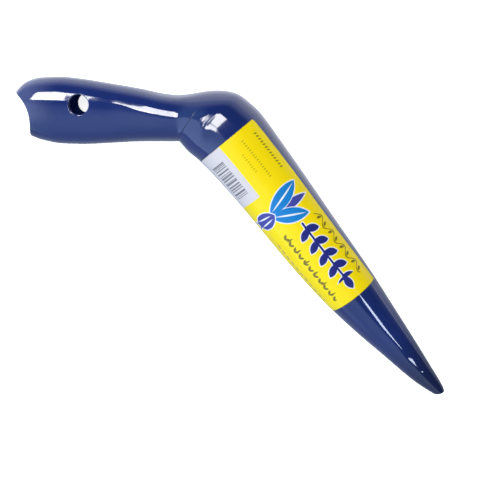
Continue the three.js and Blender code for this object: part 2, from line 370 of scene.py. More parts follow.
def raw_skin(station, around, offset):
    """A point of the skin. Around is a share of the girth, counted from the inner side of the
    bend over the side that lies up."""
    s = section(station)
    low, flat, high = girth_parts(s)
    run = np.minimum(around, 1 - around) * 2 * (low + flat + high)
    low_turn = math.pi / 2 * np.clip(1 - run / low, 0, 1)
    high_turn = math.pi / 2 * np.clip((run - low - flat) / high, 0, 1)
    level = s["bottom"] + s["bottom_round"] + np.clip(run - low, 0, flat)
    height = level - (s["bottom_round"] + offset) * np.sin(low_turn)
    height = height + (s["top_round"] + offset) * np.sin(high_turn)
    across = np.where(around <= 0.5, 1.0, -1.0) * side_reach(s, height, offset)
    x = s["foot_x"] + s["out_x"] * height
    y = s["foot_y"] + s["out_y"] * height
    return np.stack(np.broadcast_arrays(x, y, across), -1)


def skin(station, around, offset=0.0):
    """The skin with the sections flowing into each other, most of all at the neck and elbow."""
    station, around, offset = np.broadcast_arrays(station, around, offset)
    from_elbow = (station - ELBOW_RUN / 2) / ELBOW_BLEND_SPREAD
    reach = BLEND_REACH + ELBOW_BLEND_REACH * np.exp(-(from_elbow**2))
    for to_end in (station + GRIP_LENGTH, ELBOW_RUN + SHANK_LENGTH - station):
        reach = np.minimum(reach, np.maximum(to_end, 0) / 2 + END_BLEND_REACH)
    near = station + np.multiply.outer(BLEND_STEPS, reach)
    weights = bell(BLEND_STEPS, 1)
    return np.tensordot(weights / weights.sum(), raw_skin(near, around, offset), 1)


# The cuts that end the pieces. Each gives the distance beyond the cut, towards the point.

def mouth_cut(p):
    return np.hypot(p[..., 0] - MOUTH_CENTRE[0], p[..., 1] - MOUTH_CENTRE[1]) - MOUTH_RADIUS


def plane_cut(turn, beyond, height=0.0, lean=0.0):
    """A plane across the tool, a length beyond the corner's pivot."""
    onward = np.array([math.cos(turn), -math.sin(turn)])
    out = np.array([math.sin(turn), math.cos(turn)])
    centre = np.array([0, -CORNER_RADIUS]) + onward * beyond + out * height
    facing = onward * math.cos(lean) + out * math.sin(lean)

    def cut(p):
        return (p[..., 0] - centre[0]) * facing[0] + (p[..., 1] - centre[1]) * facing[1]

    return cut


def station_at(cut, beyond, around, offset):
    """The stations where lines along the skin lie a length beyond a cut."""
    around, offset, beyond = np.broadcast_arrays(around, offset, beyond)
    before = np.full(around.shape, -GRIP_LENGTH)
    after = np.full(around.shape, ELBOW_RUN + SHANK_LENGTH)
    for _ in range(HALVINGS):
        middle = (before + after) / 2
        past = cut(skin(middle, around, offset)) > beyond
        after = np.where(past, middle, after)
        before = np.where(past, before, middle)
    return (before + after) / 2


elbow_grip_side = plane_cut(MITRE, -WELD_WIDTH / 2)
elbow_shank_side = plane_cut(MITRE, WELD_WIDTH / 2)
point_joint = plane_cut(BEND, SHANK_LENGTH - POINT_LENGTH)
point_shank_side = plane_cut(BEND, SHANK_LENGTH - POINT_LENGTH - POINT_WELD_WIDTH / 2)
point_tip_side = plane_cut(BEND, SHANK_LENGTH - POINT_LENGTH + POINT_WELD_WIDTH / 2)
tip_middle = float(shank_middle(1.0)) * SHANK_DIAMETER
tip_cut = plane_cut(BEND, SHANK_LENGTH - TIP_SETBACK, tip_middle, -TIP_TILT)


# The marks that forging and welding left

def ridge(p, start, end, width, height):
    """A ridge between two points of the tool's plane, that drops towards its ends."""
    run = np.subtract(end, start)
    from_start = p[..., :2] - np.array(start)
    share = np.clip((from_start @ run) / (run @ run), 0, 1)
    off = from_start - share[..., None] * run
    drop = np.clip(RIDGE_RISE * share * (1 - share) + RIDGE_END, 0, 1)
    return height * drop * bell(np.hypot(off[..., 0], off[..., 1]), width)


def elbow_marks(p):
    """How far the skin stands proud there: the bead's lumps, and the crease that runs on from them."""
    return sum(ridge(p, *mark) for mark in ELBOW_RIDGES)


def side_swelling(x, y):
    """How far the grip's, neck's and elbow's sides stand proud: the neck swells out, a soft crest
    runs down it, the mouth draws in and the shoulder has a boss beside the bead."""
    neck = sum(height * ease(x, start, end) for height, start, end in NECK_SWELLS)
    off_crest = y - CREST_PASSES[1] - CREST_SLOPE * (x - CREST_PASSES[0])
    crest = CREST_HEIGHT * ease(x, *CREST_GROWS) * (1 - ease(x, *CREST_FADES))
    mouth = -MOUTH_DRAW * ease(x, *MOUTH_DRAWS_IN)
    off_boss = np.hypot(x - SHOULDER_BOSS_CENTRE[0], y - SHOULDER_BOSS_CENTRE[1])
    boss = SHOULDER_BOSS * bell(off_boss, SHOULDER_BOSS_SPREAD)
    return neck + crest * bell(off_crest, CREST_SPREAD) + mouth + boss


def hammer_mark(p):
    """A shallow flat on each side of the shank, above the point."""
    down = math.cos(BEND) * p[..., 0] - math.sin(BEND) * (p[..., 1] + CORNER_RADIUS)
    over = math.sin(BEND) * p[..., 0] + math.cos(BEND) * (p[..., 1] + CORNER_RADIUS)
    along_it = bell(down - HAMMER_CENTRE[0], HAMMER_SPREAD[0])
    return -HAMMER_DEPTH * along_it * bell(over - HAMMER_CENTRE[1], HAMMER_SPREAD[1])


def marked_skin(station, around, offset):
    """The skin with those marks and the point's weld on its outside."""
    p = skin(station, around, offset)
    station, around, offset = np.broadcast_arrays(station, around, offset)
    outside = offset > -WALL / 4
    on_side = side_swelling(p[..., 0], p[..., 1]) * ease(np.abs(p[..., 2]), *SIDE_STARTS)
    proud = np.where(outside & (station < 2 * ELBOW_RUN), elbow_marks(p) + on_side, 0)
    bead = POINT_WELD_CROWN * np.exp(-((point_joint(p) / (POINT_WELD_WIDTH / 3)) ** 2))
    near_point = outside & (station > ELBOW_RUN + SHANK_LENGTH / 2)
    proud = np.where(near_point, bead + hammer_mark(p), proud)
    return skin(station, around, offset + proud)


# Rows of stations that make up a piece's skin

class Rows:
    """Lines round a piece: where each lies, how deep, and how near it is to a worn rim."""

    def __init__(self, columns):
        self.around = np.linspace(0, 1, columns + 1)
        self.station = []
        self.offset = []
        self.rim = []

    def add(self, station, offset, rim=0.0):
        for held, value in ((self.station, station), (self.offset, offset), (self.rim, rim)):
            held.append(np.broadcast_to(value, self.around.shape).astype(float))

    def beyond(self, cut, length, offset):
        return station_at(cut, length, self.around, offset)

    def face(self, start, end, offset, stops, start_round=0.0, end_round=0.0):
        """The skin from cut to cut at one depth, by way of some stops."""
        first = [self.beyond(start, start_round + gap, offset) for gap in NEAR_EDGE]
        last = [self.beyond(end, -end_round - gap, offset) for gap in NEAR_EDGE]
        for gap, station in zip(NEAR_EDGE, first):
            self.add(station, offset, math.exp(-gap / RIM_WEAR) * np.sign(start_round))
        here = first[-1]
        for stop, count in stops:
            there = last[-1] if stop is None else stop
            for share in np.linspace(0, 1, count + 1)[1:]:
                self.add(here + (there - here) * share, offset)
            here = there
        for gap, station in list(zip(NEAR_EDGE, last))[-2::-1]:
            self.add(station, offset, math.exp(-gap / RIM_WEAR) * np.sign(end_round))

    def rim_steps(self, round_length):
        """Depth and inset of the rows over a rounded rim, from the outside in."""
        turns = np.linspace(0, math.pi / 2, RIM_STEPS + 1)
        steps = [(round_length * (1 - math.cos(t)), round_length * (1 - math.sin(t))) for t in turns]
        return steps + [(WALL - depth, inset) for depth, inset in reversed(steps)]

    def end_rim(self, cut, round_length, side):
        """The rim through the wall: inwards where the piece ends, outwards where it starts. Without
        rounding it is square, where one painted surface runs on into the next."""
        rounded = np.any(round_length)
        steps = self.rim_steps(round_length) if rounded else [(0, 0), (WALL, 0)]
        for depth, inset in steps[::side]:
            self.add(self.beyond(cut, -side * inset, -depth), -depth, 1.0 if rounded else 0.0)


def tube_rows(columns, start, end, outside_stops, inside_stops, start_round=0.0, end_round=0.0):
    """A tube's rows: along its outside, through the wall, back along its inside and out again."""
    rows = Rows(columns)
    rows.face(start, end, 0.0, outside_stops, start_round, end_round)
    rows.end_rim(end, end_round, 1)
    inside = Rows(columns)
    inside.face(start, end, -WALL, inside_stops, start_round, end_round)
    for station, offset in list(zip(inside.station, inside.offset))[::-1]:
        rows.add(station, offset)
    rows.end_rim(start, start_round, -1)
    rows.add(rows.station[0], rows.offset[0], rows.rim[0])
    return rows


# Meshes from rows

def numbered_grid(row_count, column_count):
    """A flat grid, its corners, and the row and column of each."""
    body = bmesh.new()
    bmesh.ops.create_grid(body, x_segments=row_count, y_segments=column_count, size=1.0)
    body.verts.layers.float.new("rim")
    corners = list(body.verts)
    flat = np.array([corner.co for corner in corners])
    row = np.rint((flat[:, 0] + 1) / 2 * row_count).astype(int)
    column = np.rint((flat[:, 1] + 1) / 2 * column_count).astype(int)
    return body, corners, row, column


def lay_on(rows):
    """A grid laid on the skin that the rows describe."""
    body, corners, row, column = numbered_grid(len(rows.station) - 1, len(rows.around) - 1)
    points = marked_skin(np.array(rows.station), rows.around, np.array(rows.offset))
    rims = np.array(rows.rim)
    rim_layer = body.verts.layers.float["rim"]
    for corner, r, c in zip(corners, row, column):
        corner.co = points[r, c]
        corner[rim_layer] = rims[r, c]
    return body, corners, row, column, points


def in_scene(name, data):
    """An object of some data, placed in the scene."""
    held = bpy.data.objects.new(name, data)
    bpy.context.scene.collection.objects.link(held)
    return held


def mesh_object(body, name, material):
    mesh = bpy.data.meshes.new(name)
    body.to_mesh(mesh)
    body.free()
    mesh.materials.append(material)
    return in_scene(name, mesh)


def to_object(body, name, material):
    """The finished mesh as an object in the row frame, smooth but for its sharp edges."""
    for corner, place in zip(body.verts, to_row(np.array([corner.co for corner in body.verts]))):
        corner.co = place
    for face in body.faces:
        face.smooth = True
    for edge in body.edges:
        if len(edge.link_faces) == 2 and edge.calc_face_angle(0) > SHARP:
            edge.smooth = False
    return mesh_object(body, name, material)


def finish_piece(piece, node):
    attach(piece, "root")
    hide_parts(node)


def close_shell(body):
    """Joins the seam where the rows meet, closes flat ends and turns every face outwards."""
    bmesh.ops.remove_doubles(body, verts=body.verts, dist=SEAM_REACH)
    open_edges = [edge for edge in body.edges if edge.is_boundary]
    bmesh.ops.holes_fill(body, edges=open_edges)
    bmesh.ops.recalc_face_normals(body, faces=body.faces)


# The hang hole

def side_height(x, y, offset):
    """How far from the middle the grip's skin lies at a place on its side."""
    return side_reach(section(x), y, offset) + (side_swelling(x, y) if offset == 0 else 0)


def ring_about_hole(rows, points, offset, side):
    """Draws the grid's lines about the hang hole into a ring, on one surface and one side, and
    gives the middle row and column."""
    hole = np.array(HOLE_CENTRE)
    on_surface = np.abs(np.array([held[0] for held in rows.offset]) - offset) < SEAM_REACH
    straight = np.array([np.ptp(held) for held in rows.station]) < SEAM_REACH
    away = np.hypot(points[..., 0] - hole[0], points[..., 1] - hole[1])
    usable = (on_surface & straight)[:, None] & (points[..., 2] * side > 0)
    middle = np.unravel_index(np.argmin(np.where(usable, away, np.inf)), away.shape)
    r, c = np.indices(away.shape)
    ring = np.maximum(abs(r - middle[0]), abs(c - middle[1])) / HOLE_CELLS
    near = (ring >= 1) & (ring < HOLE_BLEND)
    share = ease(ring[near], 1, HOLE_BLEND)
    out = points[near][:, :2] - hole
    edge = HOLE_RADIUS + (HOLE_ROUND if offset == 0 else 0)
    scale = edge / np.hypot(out[:, 0], out[:, 1])
    place = hole + out * (scale + (1 - scale) * share)[:, None]
    height = side_height(place[:, 0], place[:, 1], offset)
    points[near] = np.column_stack([place, side * height])
    return middle


def edges_within(body, ring):
    """The open edges that run from one corner of a ring to the next."""
    held = set(ring)
    return [
        edge for edge in body.edges
        if len(edge.link_faces) == 1 and edge.verts[0] in held and edge.verts[1] in held
    ]


def round_hole_rim(body, loop, side):
    """Draws a loop of edges in over the hang hole's rounded rim, and gives the last loop."""
    rim_layer = body.verts.layers.float["rim"]
    hole = np.array(HOLE_CENTRE)
    for turn in np.linspace(0, math.pi / 2, RIM_STEPS + 1)[1:]:
        made = bmesh.ops.extrude_edge_only(body, edges=loop)["geom"]
        fresh = [item for item in made if isinstance(item, bmesh.types.BMVert)]
        out = np.array([corner.co[:2] for corner in fresh]) - hole
        radius = HOLE_RADIUS + HOLE_ROUND * (1 - math.sin(turn))
        place = hole + out / np.hypot(out[:, 0], out[:, 1])[:, None] * radius
        height = side_height(place[:, 0], place[:, 1], 0.0) - HOLE_ROUND * (1 - math.cos(turn))
        for corner, on_side, rise in zip(fresh, place, height):
            corner.co = (*on_side, side * rise)
            corner[rim_layer] = 1.0
        loop = edges_within(body, fresh)
    return loop


def open_hole(rows, body, corners, row, column, points):
    """Takes the hang hole out of both sides of the grip and closes the wall round it."""
    rings, cores = {}, []
    for offset in (0.0, -WALL):
        for side in (1, -1):
            r, c = ring_about_hole(rows, points, offset, side)
            steps = np.maximum(abs(row - r), abs(column - c))
            rings[offset, side] = [corners[i] for i in np.flatnonzero(steps == HOLE_CELLS)]
            cores += [corners[i] for i in np.flatnonzero(steps < HOLE_CELLS)]
    for corner, r, c in zip(corners, row, column):
        corner.co = points[r, c]
    bmesh.ops.delete(body, geom=cores, context="VERTS")
    rim_layer = body.verts.layers.float["rim"]
    for side in (1, -1):
        for corner in rings[0.0, side]:
            corner[rim_layer] = HOLE_WEAR
        outer_loop = edges_within(body, rings[0.0, side])
        inner_loop = edges_within(body, rings[-WALL, side])
        bmesh.ops.bridge_loops(body, edges=round_hole_rim(body, outer_loop, side) + inner_loop)


# Nodes

FLOAT, PLACE = "NodeSocketFloat", "NodeSocketVector"


class Wiring:
    """Short ways to add nodes to a tree. Any value may be a number, a colour or a socket."""

    def __init__(self, tree):
        self.tree = tree

    def node(self, kind, **settings):
        made = self.tree.nodes.new(kind)
        for key, value in settings.items():
            setattr(made, key, value)
        return made

    def plug(self, source, target):
        if isinstance(source, (int, float, tuple)):
            target.default_value = source
        else:
            self.tree.links.new(source, target)

    def math(self, operation, *values):
        made = self.node("ShaderNodeMath", operation=operation)
        for value, socket in zip(values, made.inputs):
            self.plug(value, socket)
        return made.outputs[0]

    def plus(self, one, other):
        return self.math("ADD", one, other)

    def minus(self, one, other):
        return self.math("SUBTRACT", one, other)

    def times(self, one, other):
        return self.math("MULTIPLY", one, other)

    def larger(self, one, other):
        return self.math("MAXIMUM", one, other)

    def apart(self, one, other):
        return self.math("ABSOLUTE", self.minus(one, other))

    def squares(self, one, other):
        return self.plus(self.math("POWER", one, 2.0), self.math("POWER", other, 2.0))

    def diagonal(self, one, other):
        return self.math("SQRT", self.squares(one, other))

    def noise(self, where, scale, detail=2.0, roughness=0.5, distortion=0.0):
        made = self.node("ShaderNodeTexNoise")
        values = (where, scale, detail, roughness, distortion)
        for label, value in zip(("Vector", "Scale", "Detail", "Roughness", "Distortion"), values):
            self.plug(value, made.inputs[label])
        return made.outputs["Fac"]

    def ramp(self, value, low, high, start=0.0, end=1.0):
        """From start to end, softly, while the value goes from low to high."""
        made = self.node("ShaderNodeMapRange", interpolation_type="SMOOTHSTEP")
        self.plug(value, made.inputs["Value"])
        for socket, number in zip(made.inputs[1:5], (low, high, start, end)):
            self.plug(number, socket)
        return made.outputs["Result"]

    def mix(self, share, low, high):
        made = self.node("ShaderNodeMix", data_type="RGBA")
        self.plug(share, made.inputs["Factor"])
        self.plug(low, made.inputs[6])
        self.plug(high, made.inputs[7])
        return made.outputs[2]

    def reach(self, where, way):
        """How far a place or direction reaches along a way."""
        made = self.node("ShaderNodeVectorMath", operation="DOT_PRODUCT")
        self.plug(where, made.inputs[0])
        made.inputs[1].default_value = way
        return made.outputs["Value"]

    def bump(self, height, strength, distance):
        made = self.node("ShaderNodeBump")
        for label, value in (("Strength", strength), ("Distance", distance), ("Height", height)):
            self.plug(value, made.inputs[label])
        return made.outputs["Normal"]

    def attribute(self, name):
        return self.node("ShaderNodeAttribute", attribute_name=name).outputs["Fac"]

    def object_place(self):
        return self.node("ShaderNodeTexCoord").outputs["Object"]

    def group(self, group, **values):
        made = self.node("ShaderNodeGroup", node_tree=group)
        for label, value in values.items():
            self.plug(value, made.inputs[label.replace("_", " ")])
        return made.outputs


def shader_tree(name):
    material = bpy.data.materials.new(name)
    material.use_nodes = True
    return material, material.node_tree, material.node_tree.nodes["Principled BSDF"]


def new_group(name, inputs, outputs):
    """A node group with its named inputs and outputs, and what is needed to wire it."""
    group = bpy.data.node_groups.new(name, "ShaderNodeTree")
    for label, kind, value in inputs:
        socket = group.interface.new_socket(label, in_out="INPUT", socket_type=kind)
        if value is not None:
            socket.default_value = value
    for label in outputs:
        group.interface.new_socket(label, in_out="OUTPUT", socket_type=FLOAT)
    w = Wiring(group)
    return group, w, w.node("NodeGroupInput").outputs, w.node("NodeGroupOutput").inputs


# Paint. Its darker and paler stretches lie at lengths along the tool: where it starts to darken and is
# darkest, back from the tip, and where it starts to pale and is palest, back from the corner and up.

NAVY = (0.0125, 0.0275, 0.153, 1)
NAVY_DEEP = (0.0095, 0.0225, 0.129, 1)
NAVY_DARKER_TO_TIP = (0.0095, 0.0155, 0.062, 1)
NAVY_PALER = (0.075, 0.095, 0.245, 1)
NAVY_THIN = (0.055, 0.075, 0.19, 1)
NAVY_DUST = (0.05, 0.06, 0.13, 1)
DARKENS_FROM_TIP = (48.0, 8.0)
TIP_DARKENING_SHARE = 0.95
PALER_FROM_CORNER = (-65.0, -82.0)
PALER_UP = (8.0, 16.0)
DUST_SHARE = 0.25
SAG_HEIGHT = 1.6
SPECK_HEIGHT = 1.4
SPECK_EDGE = (0.05, 0.14)
SPECKS_ABOVE = 0.63
WEAR_SHOWS = (0.34, 0.86)
PAINT_ROUGHNESS = 0.06
SMEAR_ROUGHNESS = 0.03
WORN_ROUGHNESS = 0.25
LACQUER_ROUGHNESS = 0.03
LACQUER_IOR = 1.5
PAINT_RELIEF = 0.02
PAINT_BUMP = 0.35


def sprayed_texture_group():
    """The fine texture of sprayed paint, with a few specks of dust in it, as a height."""
    inputs = [("Place", PLACE, None), ("Peel", FLOAT, 1.0), ("Specks", FLOAT, 1.0)]
    group, w, entry, leave = new_group("sprayed_texture", inputs, ["Height", "Speck"])
    peel = w.noise(entry["Place"], scale=620, detail=2, roughness=0.45)
    sag = w.noise(entry["Place"], scale=130, detail=1, roughness=0.4)
    specks = w.node("ShaderNodeTexVoronoi", feature="F1")
    w.plug(entry["Place"], specks.inputs["Vector"])
    specks.inputs["Scale"].default_value = 260
    near_speck = w.ramp(specks.outputs["Distance"], *SPECK_EDGE, start=1, end=0)
    rare = w.math("GREATER_THAN", w.noise(entry["Place"], scale=75, detail=0), SPECKS_ABOVE)
    speck = w.times(w.times(near_speck, rare), entry["Specks"])
    waves = w.math("MULTIPLY_ADD", sag, SAG_HEIGHT, peel)
    height = w.math("MULTIPLY_ADD", waves, entry["Peel"], w.times(speck, SPECK_HEIGHT))
    w.plug(height, leave["Height"])
    w.plug(speck, leave["Speck"])
    return group


def edge_wear_group():
    """Where handling has thinned the paint: strong on rims, broken up by a fine noise."""
    inputs = [("Place", PLACE, None), ("Rim", FLOAT, 0.0), ("Amount", FLOAT, 0.5)]
    group, w, entry, leave = new_group("edge_wear", inputs, ["Wear"])
    broken = w.noise(entry["Place"], scale=420, detail=4, roughness=0.65)
    patches = w.noise(entry["Place"], scale=60, detail=2, roughness=0.5)
    strength = w.times(w.plus(broken, patches), w.times(entry["Rim"], entry["Amount"]))
    w.plug(w.ramp(strength, *WEAR_SHOWS), leave["Wear"])
    return group


sprayed_texture = sprayed_texture_group()
edge_wear = edge_wear_group()


def reach_in_plane(w, where, turn):
    """How far a place lies from the inner corner, in millimetres, in a direction of the tool's plane."""
    way = turned((math.cos(turn), -math.sin(turn), 0))
    return w.minus(w.reach(where, way / MM), way.dot(ORIGIN) / MM)


def navy_along_tool(w, where):
    """The paint's colour: a little cloudy, darker towards the tip, and paler near the grip's end towards
    the outer side of the bend.
    """
    cloudy = w.ramp(w.noise(where, scale=24, detail=3), 0.35, 0.7)
    colour = w.mix(cloudy, NAVY, NAVY_DEEP)
    darkening_stretch = [SHANK_LENGTH - from_tip for from_tip in DARKENS_FROM_TIP]
    tip_darkening = w.ramp(reach_in_plane(w, where, BEND), *darkening_stretch, end=TIP_DARKENING_SHARE)
    colour = w.mix(tip_darkening, colour, NAVY_DARKER_TO_TIP)
    paler_along = w.ramp(reach_in_plane(w, where, 0), *PALER_FROM_CORNER)
    paler_up = w.ramp(reach_in_plane(w, where, -math.pi / 2), *PALER_UP)
    patchy = w.ramp(w.noise(where, scale=38, detail=3, roughness=0.55), 0.3, 0.7, start=0.7)
    return w.mix(w.times(w.times(paler_along, paler_up), patchy), colour, NAVY_PALER)


def blue_paint(name, peel, wear, ripple=0.0):
    """Glossy navy paint, as sprayed over steel. Ripple adds the beads of a weld under it."""
    material, tree, shader = shader_tree(name)
    w = Wiring(tree)
    where = w.object_place()
    texture = w.group(sprayed_texture, Place=where, Peel=peel, Specks=1.0)
    worn = w.group(edge_wear, Place=where, Rim=w.attribute("rim"), Amount=wear)["Wear"]
    colour = w.mix(w.times(texture["Speck"], DUST_SHARE), navy_along_tool(w, where), NAVY_DUST)
    w.plug(w.mix(worn, colour, NAVY_THIN), shader.inputs["Base Color"])
    smeared = w.noise(where, scale=55, detail=4, roughness=0.6)
    smears = w.ramp(smeared, 0.5, 0.8, end=SMEAR_ROUGHNESS)
    roughness = w.plus(w.times(worn, WORN_ROUGHNESS), w.plus(smears, PAINT_ROUGHNESS))
    w.plug(roughness, shader.inputs["Roughness"])
    shader.inputs["IOR"].default_value = LACQUER_IOR
    shader.inputs["Coat Weight"].default_value = 1.0
    shader.inputs["Coat Roughness"].default_value = LACQUER_ROUGHNESS
    shader.inputs["Coat IOR"].default_value = LACQUER_IOR
    height = texture["Height"]
    if ripple:
        height = w.math("MULTIPLY_ADD", w.noise(where, scale=900), ripple, height)
    w.plug(w.bump(height, PAINT_BUMP, PAINT_RELIEF * MM), shader.inputs["Normal"])
    return material


tube_paint = blue_paint("navy_gloss_paint", peel=1.0, wear=0.55)
seam_paint = blue_paint("navy_paint_over_weld", peel=1.3, wear=0.3, ripple=1.2)


# The label's print. Its places are millimetres on the flat label: from its upper end, and from the
# edge that is wrapped round the inner side. A leaf is its middle, turn in degrees, length and width,
# and a bed is its middle, length, width and corner. What repeats does so from a start, at a pitch.

PRINT_SCALE = 128.0
SUN_YELLOW = (0.95, 0.75, 0.003, 1)
WARM_YELLOW = (0.93, 0.69, 0.003, 1)
PALE_YELLOW = (0.95, 0.8, 0.03, 1)
PAPER_WHITE = (0.69, 0.655, 0.68, 1)
PRINT_WHITE = (0.82, 0.85, 0.92, 1)
BAR_GREY = (0.1, 0.1, 0.13, 1)
INK_NAVY = (0.02, 0.026, 0.2, 1)
INK_BLUE = (0.012, 0.22, 0.6, 1)
INK_PURPLE = (0.06, 0.07, 0.36, 1)
INK_OLIVE = (0.13, 0.115, 0.012, 1)
# Colour of the painted shadow along the film's cut edge
EDGE_SHADOW_COLOUR = (0.14, 0.11, 0.02, 1)
INK_BLUR = 0.14
GROUND_MIDDLE = 45.0
WARM_BAND = (3.0, 15.0)
WARM_SHARE = 0.55
MOTTLE_SHARE = 0.12
# Band, inside the cut edge, where the painted shadow lies
EDGE_SHADOW_BAND = (-0.5, -0.05)
FILM_ROUGHNESS = 0.15
SCUFF_ROUGHNESS = 0.12
FILM_IOR = 1.42
FILM_RELIEF = 0.05
FILM_BUMP = 0.4
CREASE_HEIGHT = 3.0

# Panel: its bars are pitch, middle and half width
PANEL = (16.5, 15.0, 37.0, 34.5, 0.4)
BARS_ROOM = (18.5, 22.5, 22.0, 11.0, 0.1)
BARS_START = 7.0
BARS = ((4.7, 0.8, 0.42), (4.7, 2.5, 0.2), (4.7, 3.6, 0.3), (7.3, 1.6, 0.24), (7.3, 5.4, 0.4))
BAR_BLUR = 0.1
BAR_SHARE = 0.85

# Bulb, with the widths of the pale halos about its plant, its leaves and itself
BULB_LEAVES = ((43.2, 42.0, 106, 24.0, 8.6), (53.2, 39.5, 61, 22.0, 8.2))
BULB_SPEAR = ((48.4, 42.0, 86, 25.0, 5.2),)
LEAF_VEINS = ((43.2, 42.0, 106, 20.0, 1.0), (53.2, 39.5, 61, 18.0, 1.0))
BULB_BODY = ((48.0, 25.0, 90, 15.0, 9.4), (48.0, 23.4, 90, 9.6, 9.2))
BULB_ROOTS = ((46.6, 17.6, 68, 5.0, 0.9), (49.6, 17.6, 112, 5.0, 0.9))
BULB_SCALES = ((46.5, 25.0, 85, 10.5, 0.9), (49.6, 25.0, 95, 10.5, 0.9))
PLANT_HALO, LEAF_HALO, BULB_HALO = 0.6, 0.35, 0.55

# Sprig
SPRIG_START, SPRIG_PITCH, SPRIG_PAIRS = 62.0, 8.4, 4.5
SPRIG_LEAVES = (
    (SPRIG_PITCH / 2, 44.9, 60, 8.6, 4.4),
    (SPRIG_PITCH / 2 + 0.8, 39.3, -60, 8.2, 4.2),
)
SPRIG_STEM = (81.0, 42.1, 41.0, 1.2, 0.5)
SPRIG_END_LEAF = ((102.6, 42.1, 0, 8.4, 4.4),)
SPRIG_HALO = 0.45

# Sprouts, and the border of dashes beneath them
SPROUTS_START, SPROUTS_END = 60.0, 107.0
SPROUT_PITCH, SHOOT_PITCH = 4.4, 7.7
SPROUTS = ((1.3, 29.4, 124, 3.6, 1.5), (3.0, 29.4, 60, 3.2, 1.4))
SHOOTS = ((4.2, 30.4, 84, 4.6, 1.0),)
DASHES_START, DASHES_END, DASH_PITCH = 62.0, 104.0, 4.0
DASH = (2.0, 20.6, 2.6, 0.9, 0.3)
DASH_SHARE = 0.7
FINE_INK_SHARE = 0.9

# Vine
VINE_START, VINE_END, VINE_PITCH = 61.0, 103.0, 10.4
VINE_LEVEL, VINE_SWING = 52.4, 1.9
VINE_EDGE = (0.22, 0.5)
VINE_LEAVES_START = 62.4
VINE_LEAVES = ((2.0, 52.2, 70, 3.4, 1.5), (7.0, 52.6, -65, 3.4, 1.5))

# Drills of seeds: start, end, pitch, one seed and the share of its ink
DRILLS = (
    (6.0, 30.3, 1.9, (0.9, 52.6, 68, 2.2, 0.9), 0.85),
    (5.0, 30.0, 1.6, (0.8, 44.0, 90, 1.7, 0.7), 0.55),
    (11.0, 23.4, 1.6, (0.8, 39.4, 90, 1.5, 0.6), 0.5),
)

SHAPE_INPUTS = [
    ("Along", FLOAT, 0.0), ("Across", FLOAT, 0.0), ("Middle along", FLOAT, 0.0),
    ("Middle across", FLOAT, 0.0), ("Length", FLOAT, 10.0), ("Width", FLOAT, 4.0),
]


def printed_leaf_group():
    """A pointed leaf between two arcs: how far outside its edge a place on the label lies."""
    inputs = SHAPE_INPUTS + [("Turn", FLOAT, 0.0)]
    group, w, entry, leave = new_group("printed_leaf", inputs, ["Outside"])
    x = w.minus(entry["Along"], entry["Middle along"])
    y = w.minus(entry["Across"], entry["Middle across"])
    cos, sin = w.math("COSINE", entry["Turn"]), w.math("SINE", entry["Turn"])
    run = w.plus(w.times(x, cos), w.times(y, sin))
    off = w.minus(w.times(y, cos), w.times(x, sin))
    half_length, half_width = w.times(entry["Length"], 0.5), w.times(entry["Width"], 0.5)
    arc = w.math("DIVIDE", w.squares(half_length, half_width), entry["Width"])
    lift = w.plus(w.math("ABSOLUTE", off), w.minus(arc, half_width))
    w.plug(w.minus(w.diagonal(run, lift), arc), leave["Outside"])
    return group


def printed_bed_group():
    """A rounded rectangle: how far outside its edge a place on the label lies."""
    inputs = SHAPE_INPUTS + [("Corner", FLOAT, 0.5)]
    group, w, entry, leave = new_group("printed_bed", inputs, ["Outside"])
    sides = []
    for place, size in (("Along", "Length"), ("Across", "Width")):
        off = w.apart(entry[place], entry["Middle " + place.lower()])
        half = w.minus(w.times(entry[size], 0.5), entry["Corner"])
        sides.append(w.larger(w.minus(off, half), 0.0))
    w.plug(w.minus(w.diagonal(*sides), entry["Corner"]), leave["Outside"])
    return group


printed_leaf = printed_leaf_group()
printed_bed = printed_bed_group()


class LabelPrint(Wiring):
    """Shapes on the flat label, and ink laid on it through them."""

    def __init__(self, tree):
        super().__init__(tree)
        parts = self.node("ShaderNodeSeparateXYZ")
        self.plug(self.node("ShaderNodeUVMap", uv_map="print_map").outputs["UV"], parts.inputs[0])
        self.along = self.times(parts.outputs["X"], PRINT_SCALE)
        self.across = self.times(parts.outputs["Y"], PRINT_SCALE)

    def shape(self, group, x, y, length, width, along=None, **more):
        return self.group(
            group, Along=self.along if along is None else along, Across=self.across,
            Middle_along=x, Middle_across=y, Length=length, Width=width, **more,
        )["Outside"]

    def bed(self, x, y, length, width, corner, along=None):
        return self.shape(printed_bed, x, y, length, width, along, Corner=corner)

    def leaves(self, rows, along=None):
        return self.joined(*[
            self.shape(printed_leaf, x, y, length, width, along, Turn=math.radians(turn))
            for x, y, turn, length, width in rows
        ])

    def joined(self, *shapes):
        found = shapes[0]
        for shape in shapes[1:]:
            found = self.math("MINIMUM", found, shape)
        return found

    def repeated(self, start, pitch):
        """Lengths along the label that start again at every pitch."""
        return self.math("MODULO", self.larger(self.minus(self.along, start), 0.0), pitch)

    def within(self, start, end):
        """1 on a stretch of the label, 0 beyond it."""
        after = self.math("GREATER_THAN", self.along, start)
        return self.times(after, self.math("LESS_THAN", self.along, end))

    def ink(self, under, shape, colour, room=1.0, share=1.0, grow=0.0):
        """Ink in a shape, or in one that has grown all round, over what is printed under it."""
        inside = self.ramp(shape, grow - INK_BLUR, grow + INK_BLUR, start=share, end=0)
        return self.mix(self.times(inside, room), under, colour)


def print_ground(art, where):
    """Yellow, a little warmer along the middle."""
    off_middle = art.math("ABSOLUTE", art.minus(art.across, GROUND_MIDDLE))
    warmth = art.ramp(off_middle, *WARM_BAND, start=WARM_SHARE, end=0)
    mottle = art.noise(where, scale=90, detail=3, roughness=0.6)
    colour = art.mix(warmth, SUN_YELLOW, WARM_YELLOW)
    return art.mix(art.times(mottle, MOTTLE_SHARE), colour, PALE_YELLOW)


